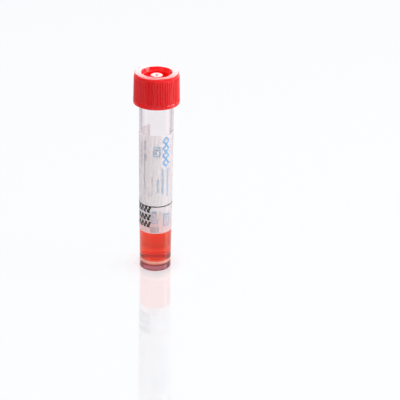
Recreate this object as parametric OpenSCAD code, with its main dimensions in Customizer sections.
// Specimen transport tube with a ribbed screw cap.
// A clear moulded tube stands on a hollow skirt, a one-piece cap plugs and covers its mouth,
// a label is wrapped round the barrel and liquid medium lies on the inner floor.
// Millimetres, +Z up along the tube, origin at the middle of the ring that the tube stands on.

/* [Overall] */
// Height of the capped tube above the surface it stands on
overall_h = 100; // [80:0.5:130]
// Outside diameter of the barrel where it goes into the cap
barrel_d = 16.3; // [13:0.1:20]

/* [Tube] */
// How much narrower the barrel is at its foot, across the diameter
barrel_draft = 1.2; // [0.2:0.1:2]
// Thickness of the barrel's wall
tube_wall = 1.1; // [0.8:0.05:1.4]
// Thickness of the floor under the liquid
floor_t = 1.2; // [0.8:0.05:2]
// Depth of the hollow under the floor
skirt_depth = 2.4; // [1:0.1:8]
// Thickness of the skirt's wall at the standing ring
skirt_wall = 1.7; // [1.4:0.05:2.2]
// Radius between the inner wall and the inner floor
floor_corner_r = 2.2; // [0.5:0.1:4]
// Rounding of the foot's outer edge
foot_round = 0.4; // [0.3:0.05:1.3]
// Step from the barrel in to the neck, on each side
neck_step = 0.3; // [0.1:0.05:0.5]
// How far up inside the cap the step lies
neck_hide = 1.2; // [0.6:0.1:3]
// Rounding of the mouth's rim
rim_round = 0.3; // [0.1:0.05:0.35]

/* [Cap] */
// Height of the cap
cap_h = 14.8; // [11:0.1:20]
// Thickness of the cap's top, which the tube's rim meets
cap_top_t = 1.8; // [1.4:0.1:3]
// Thickness of the skirt between the bore and the foot of the ribs
cap_wall = 1.85; // [1:0.05:2.5]
// Narrowing of the skirt towards its top, across the diameter
cap_draft = 0.62; // [0.04:0.02:0.8]
// Number of grip ribs
rib_count = 56; // [24:1:72]
// Height of a rib above the skirt
rib_h = 0.27; // [0.1:0.01:0.5]
// Width of a rib along its crest
rib_crest_w = 0.36; // [0.1:0.01:0.4]
// Width of a rib at its foot
rib_foot_w = 0.78; // [0.45:0.01:0.85]
// Plain band above the ribs
top_band_h = 1.4; // [0.8:0.1:3]
// Plain collar below the ribs
collar_h = 1.5; // [0.8:0.1:3]
// How far the collar stands out past the ribs' crests
collar_step = 0.05; // [0.02:0.01:0.3]
// Rounding of the cap's outer edges
cap_edge_r = 0.4; // [0.1:0.05:0.5]

/* [Thread] */
// Height of the screw thread on the neck
thread_h = 0.6; // [0.3:0.05:1]
// Gap between the neck's thread and the cap's bore
thread_clearance = 0.3; // [0.15:0.05:0.6]

/* [Cap top and plug] */
// Depth of the dish in the cap's top
dish_depth = 4.6; // [3:0.1:7]
// How much wider the dish is at its mouth, on each side
dish_flare = 1.2; // [0.4:0.1:2]
// Depth over which the dish's mouth narrows
dish_flare_depth = 1.8; // [0.8:0.1:2.4]
// Rounding of the mouth's rim, from the flat top into the dish
dish_rim_r = 0.25; // [0.1:0.05:0.4]
// Radius between the dish's wall and its floor
dish_corner_r = 0.8; // [0.3:0.05:1.2]
// Diameter of the boss in the middle of the dish
boss_d = 6.2; // [5:0.1:7]
// How far the boss's top lies below the cap's top
boss_drop = 1.45; // [0.5:0.05:2.4]
// Wall of the boss, which is cored from below
boss_wall = 1.1; // [0.8:0.05:1.5]
// Diameter of the gate mark on the boss
gate_d = 0.9; // [0.5:0.05:1.5]
// Depth of the gate mark
gate_depth = 0.2; // [0.1:0.05:0.4]
// Thickness of the plug's wall
plug_wall = 1.0; // [0.7:0.05:1.4]
// Thickness of the plug's bottom
plug_floor_t = 1.1; // [0.8:0.05:2]
// Gap between the plug and the tube's bore
plug_clearance = 0.1; // [0.05:0.01:0.3]
// Lead-in at the plug's lower edge
plug_lead = 0.5; // [0.2:0.05:0.8]

/* [Label] */
// Height of the label's lower edge
label_z = 20.5; // [8:0.5:30]
// Height of the label
label_h = 50.9; // [20:0.1:52]
// Thickness of the label
label_t = 0.12; // [0.08:0.01:0.3]
// Layer of adhesive under the label
label_glue_t = 0.02; // [0.01:0.01:0.05]
// Width, round the barrel, of the bare strip that the label leaves to see the contents through
sight_strip_w = 12.5; // [0.5:0.5:16]
// Turn of the bare strip's middle from the back of the tube, towards +X
sight_strip_turn = 20; // [0:5:45]

/* [Medium] */
// Volume of the liquid, in millilitres
fill_ml = 3; // [1.5:0.1:6]
// Height to which the liquid climbs the wall
meniscus_h = 0.7; // [0.2:0.1:1.5]
// Film between the liquid and the tube
medium_gap = 0.02; // [0.01:0.01:0.05]

/* [Hidden] */
$fn = 96;
over = 1;

// Heights, from the standing ring up
cap_z = overall_h - cap_h;
mouth_z = overall_h - cap_top_t;
floor_z = skirt_depth + floor_t;
neck_z = cap_z + neck_hide;
plug_z = overall_h - dish_depth - plug_floor_t;
rib_z = cap_z + collar_h;
band_z = overall_h - top_band_h;

// Radii of the tube: the barrel widens evenly from foot_r at the floor to barrel_d at the cap
foot_r = (barrel_d - barrel_draft) / 2;
barrel_slope = barrel_draft / 2 / cap_z;
neck_r = barrel_d / 2 - neck_step;
bore_r = neck_r + thread_h + thread_clearance;

// Radii of the cap: the skirt covers the neck's thread, the plug fits the tube's mouth
cap_top_r = bore_r + cap_wall - cap_draft / 2;
cap_foot_r = bore_r + cap_wall;
plug_r = tube_in_r(plug_z) - plug_clearance;
dish_r = plug_r - plug_wall;

// Level of the liquid: the height of a cone slice that holds the volume
medium_r = tube_in_r(floor_z) - medium_gap;
medium_v = fill_ml * 1000;
medium_h = (pow(3 * barrel_slope * medium_v / PI + pow(medium_r, 3), 1 / 3) - medium_r) / barrel_slope;
level_z = floor_z + medium_h;

function tube_out_r(z) = foot_r + barrel_slope * z;
function tube_in_r(z) = tube_out_r(z) - tube_wall;
function skirt_r(z) = cap_foot_r + (cap_top_r - cap_foot_r) * (z - cap_z) / cap_h;
function crest_r(z) = skirt_r(z) + rib_h;

// What a rounding of radius r takes off a square corner at the origin that points down and left
module corner_waste(r) {
    difference() {
        square(r);
        translate([r, r]) circle(r);
    }
}

// The same waste on a corner that points along dx and dy, each 1 or -1
module round_off(at, dx, dy, r) {
    translate(at) mirror([dx > 0 ? 1 : 0, 0]) mirror([0, dy > 0 ? 1 : 0]) corner_waste(r);
}

// Half section of the space inside the tube, drawn in by a gap, up to a height
module inside_section(gap, top_z) {
    low_z = floor_z + gap;
    low_r = tube_in_r(low_z) - gap;
    difference() {
        polygon([
            [0, low_z],
            [low_r, low_z],
            [low_r, low_z + floor_corner_r],
            [tube_in_r(top_z) - gap, top_z],
            [0, top_z]
        ]);
        round_off([low_r, low_z], 1, -1, floor_corner_r);
    }
}

// Half section of the tube
module tube_section() {
    skirt_in_r = foot_r - skirt_wall;
    difference() {
        polygon([
            [0, 0],
            [foot_r, 0],
            [foot_r, foot_round],
            [tube_out_r(neck_z), neck_z],
            [neck_r, neck_z + neck_step],
            [neck_r, mouth_z],
            [0, mouth_z]
        ]);
        round_off([foot_r, 0], 1, -1, foot_round);
        round_off([neck_r, mouth_z], 1, 1, rim_round);
        inside_section(0, mouth_z + over);
        difference() {
            translate([0, -over]) square([skirt_in_r, skirt_depth + over]);
            round_off([skirt_in_r, skirt_depth], 1, 1, skirt_depth / 3);
        }
    }
}

// Half section of the cap without its ribs
module cap_section() {
    collar_r = crest_r(cap_z) + collar_step;
    collar_top_z = rib_z + collar_r - skirt_r(rib_z);
    difference() {
        polygon([
            [0, cap_z],
            [collar_r, cap_z],
            [collar_r, rib_z],
            [skirt_r(collar_top_z), collar_top_z],
            [cap_top_r, overall_h],
            [0, overall_h]
        ]);
        round_off([collar_r, cap_z], 1, -1, cap_edge_r);
        round_off([cap_top_r, overall_h], 1, 1, cap_edge_r);
        dish_section();
        under_section();
    }
}

// Half section of the dish in the cap's top, round its boss
module dish_section() {
    dish_floor_z = overall_h - dish_depth;
    boss_z = overall_h - boss_drop;
    boss_r = boss_d / 2;
    difference() {
        translate([0, dish_floor_z]) square([dish_r, dish_depth + over]);
        square([boss_r, boss_z]);
        round_off([dish_r, dish_floor_z], 1, -1, dish_corner_r);
        round_off([boss_r, dish_floor_z], -1, -1, dish_corner_r);
    }
    round_off([boss_r, boss_z], 1, 1, cap_edge_r);
    translate([0, boss_z - gate_depth]) square([gate_d / 2, gate_depth]);
    dish_mouth_section();
}

// Half section of what the dish's mouth takes off its wall: a funnel with a rounded rim
module dish_mouth_section() {
    mouth_r = dish_r + dish_flare;
    slope_a = atan2(dish_flare, dish_flare_depth);
    tangent = dish_rim_r / tan(45 + slope_a / 2);
    rim_at = [mouth_r + tangent, overall_h - dish_rim_r];
    polygon([[dish_r, overall_h], [dish_r, overall_h - dish_flare_depth], [mouth_r, overall_h]]);
    difference() {
        polygon([
            [mouth_r, overall_h],
            [mouth_r - tangent * sin(slope_a), overall_h - tangent * cos(slope_a)],
            rim_at,
            [mouth_r + tangent, overall_h]
        ]);
        translate(rim_at) circle(dish_rim_r);
    }
}

// Half section of the space under the cap: the bore, the groove round the plug and the boss's core
module under_section() {
    boss_core_r = boss_d / 2 - boss_wall;
    boss_core_z = overall_h - boss_drop - boss_wall;
    difference() {
        translate([0, cap_z - over]) square([bore_r, mouth_z - cap_z + over]);
        polygon([
            [0, plug_z],
            [plug_r - plug_lead, plug_z],
            [plug_r, plug_z + 2 * plug_lead],
            [plug_r, mouth_z],
            [0, mouth_z]
        ]);
    }
    translate([0, plug_z - over]) square([boss_core_r, boss_core_z - plug_z + over]);
}

// Cross-section of a rib, from inside the skirt, whose surface is at 0, to past its crest
module rib_profile() {
    past = rib_h / 8;
    past_w = rib_crest_w - (rib_foot_w - rib_crest_w) * past / rib_h;
    polygon([
        [-rib_h, -rib_foot_w / 2],
        [0, -rib_foot_w / 2],
        [rib_h + past, -past_w / 2],
        [rib_h + past, past_w / 2],
        [0, rib_foot_w / 2],
        [-rib_h, rib_foot_w / 2]
    ]);
}

// Half section of the ring that the ribs fill: it starts inside the collar,
// and its upper end slopes back into the skirt
module rib_section() {
    in_r = bore_r + cap_wall / 2;
    end_z = band_z - rib_h;
    end_r = crest_r(end_z);
    polygon([
        [in_r, rib_z - rib_h],
        [crest_r(rib_z - rib_h), rib_z - rib_h],
        [end_r, end_z],
        [end_r - 2 * rib_h, end_z + 2 * rib_h],
        [in_r, end_z + 2 * rib_h]
    ]);
}

// Each rib leans in with the skirt, so it keeps its width all the way up
module ribs() {
    lean = atan2(cap_draft / 2, cap_h);
    intersection() {
        rotate_extrude() rib_section();
        for (i = [0:rib_count - 1])
            rotate([0, 0, i * 360 / rib_count])
            translate([cap_foot_r, 0, cap_z])
            rotate([0, -lean, 0])
            linear_extrude(cap_h) rib_profile();
    }
}

// One moulding: foot skirt, floor, barrel and neck
module tube() {
    color([0.9, 0.9, 0.92, 0.45]) rotate_extrude() tube_section();
}

// One moulding: ribbed skirt, dished top with its boss, and the plug below
module cap() {
    color([0.86, 0.11, 0.13]) {
        rotate_extrude() cap_section();
        ribs();
    }
}

// A film wrapped round the barrel, its two ends either side of the bare strip
module label() {
    top_z = label_z + label_h;
    low_r = tube_out_r(label_z) + label_glue_t;
    top_r = tube_out_r(top_z) + label_glue_t;
    strip_a = sight_strip_w / low_r * 180 / PI;
    color([0.9, 0.88, 0.9, 0.9])
        rotate([0, 0, 90 - sight_strip_turn + strip_a / 2])
        rotate_extrude(angle = 360 - strip_a)
        polygon([[low_r, label_z], [low_r + label_t, label_z], [top_r + label_t, top_z], [top_r, top_z]]);
}

// The liquid, with a flat top that curves up to the wall
module medium() {
    edge_z = level_z + meniscus_h;
    color([0.95, 0.3, 0.22, 0.8]) rotate_extrude() difference() {
        inside_section(medium_gap, edge_z);
        translate([0, level_z]) square([tube_in_r(level_z) - medium_gap - meniscus_h, meniscus_h + over]);
        translate([tube_in_r(level_z) - medium_gap - meniscus_h, edge_z]) circle(meniscus_h);
    }
}

tube();
cap();
label();
medium();
